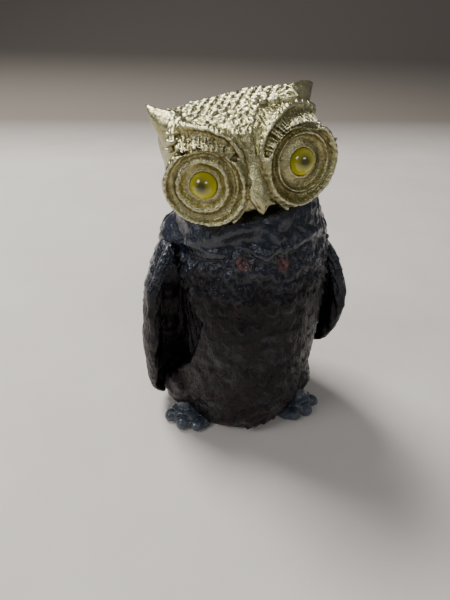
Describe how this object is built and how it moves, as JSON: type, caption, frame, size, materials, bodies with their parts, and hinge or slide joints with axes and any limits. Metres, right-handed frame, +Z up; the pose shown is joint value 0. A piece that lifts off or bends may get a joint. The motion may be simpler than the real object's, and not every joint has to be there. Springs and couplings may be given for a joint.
{
  "type": "owl figurine",
  "caption": "Standing owl figurine with a dark feathered body, wings and feet, glass eyes and a leaning gold head that turns.",
  "frame": {"origin": "centre of the felt disc's lower face, on the surface the figurine stands on", "axes": "+Z up, -Y the way the owl faces, +X towards the owl's own left wing"},
  "size_m": [0.0905, 0.0702, 0.1499],
  "materials": {
    "dark_paint": "satin",
    "gold_paint": "satin",
    "slate_paint": "gloss",
    "yellow_glass": "gloss",
    "eye_backing": "matte",
    "steel": "satin",
    "brass": "satin",
    "felt": "matte"
  },
  "bodies": {
    "stand": {"body_casting": "dark_paint", "wing_right": "dark_paint", "wing_left": "dark_paint", "wing_pins": "steel", "foot_right": "slate_paint", "foot_left": "slate_paint", "foot_pins": "steel", "base_plate": "steel", "base_screws": "brass", "base_felt": "felt", "neck_bush": "brass"},
    "head": {"head_casting": "gold_paint", "eye_glass_right": "yellow_glass", "eye_glass_left": "yellow_glass", "eye_back_right": "eye_backing", "eye_back_left": "eye_backing", "neck_stud": "steel", "plain_washer": "steel", "spring_washer": "steel", "lock_nut": "brass"}
  },
  "joints": [
    {"name": "head_turn", "type": "hinge", "parent": "stand", "child": "head", "pos_m": [-0.0031, 0, 0.1102], "axis": [-0.225, 0, 0.9744], "continuous": true}
  ]
}
